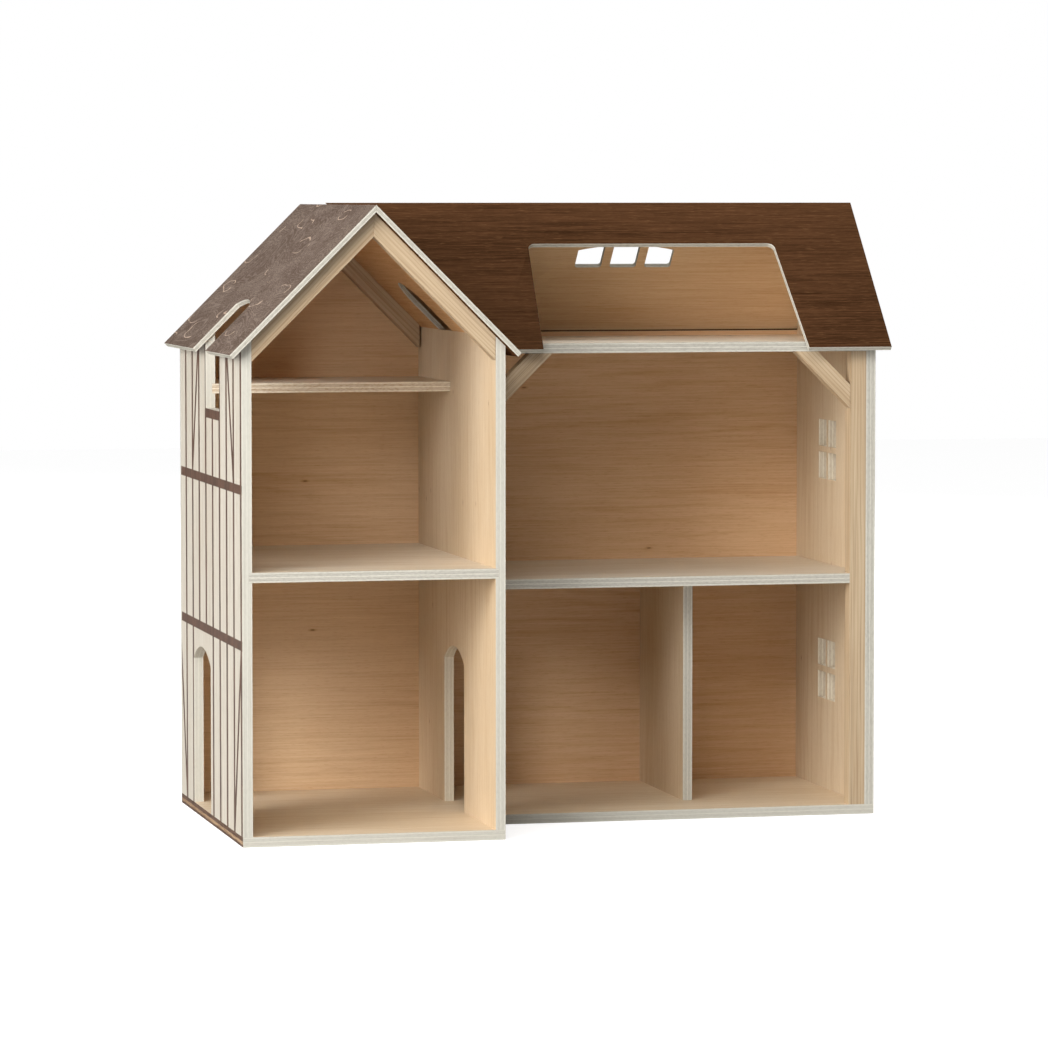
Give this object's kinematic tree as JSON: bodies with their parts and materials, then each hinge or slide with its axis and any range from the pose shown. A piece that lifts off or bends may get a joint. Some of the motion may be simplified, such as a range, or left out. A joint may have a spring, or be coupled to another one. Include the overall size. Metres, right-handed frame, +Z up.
{
  "type": "dollhouse",
  "caption": "Open-front plywood dollhouse: a gabled wing beside a set-back main house with a cut-out roof, arched doors and half-timber decoration.",
  "frame": {"origin": "under the middle of the whole house, roof overhangs included, on the surface that it stands on", "axes": "+X along the width towards the main house's gable wall, +Y from the open front to the closed back, +Z up"},
  "size_m": [0.674, 0.385, 0.6015],
  "materials": {
    "plain_ply": "satin clear-lacquered birch plywood with bare layered edges",
    "painted_ply": "pale plywood with painted brown plank lines and bands outside, clear inside",
    "thin_ply": "thin plywood with horizontal grain",
    "stained_ply": "dark brown stained plywood with pale layered edges",
    "stained_burl_ply": "grey-brown stained plywood with swirling figure and pale layered edges",
    "batten_wood": "planed softwood with clear grain",
    "dowel_wood": "plain beech dowel",
    "steel": "zinc-plated steel"
  },
  "bodies": {
    "root": {"base_board": "plain_ply", "wing_outer_wall": "painted_ply", "wing_inner_wall": "plain_ply", "main_gable_wall": "painted_ply", "wing_back_panel": "thin_ply", "main_back_panel": "thin_ply", "wing_floor": "plain_ply", "wing_loft_shelf": "plain_ply", "main_floor": "plain_ply", "main_attic_floor": "plain_ply", "partition_wall": "plain_ply", "wing_roof_left": "stained_burl_ply", "wing_roof_right": "stained_ply", "main_roof_front": "stained_ply", "main_roof_back": "stained_ply", "rafter_front_left": "batten_wood", "rafter_front_right": "batten_wood", "rafter_rear_left": "batten_wood", "rafter_rear_right": "batten_wood", "post_left": "batten_wood", "post_right": "batten_wood", "knee_brace_left": "batten_wood", "knee_brace_right": "batten_wood", "main_ridge_batten": "batten_wood", "base_screws": "steel", "wing_back_pins": "steel", "main_back_pins": "steel", "partition_dowels": "dowel_wood", "post_dowels": "dowel_wood"}
  },
  "joints": []
}
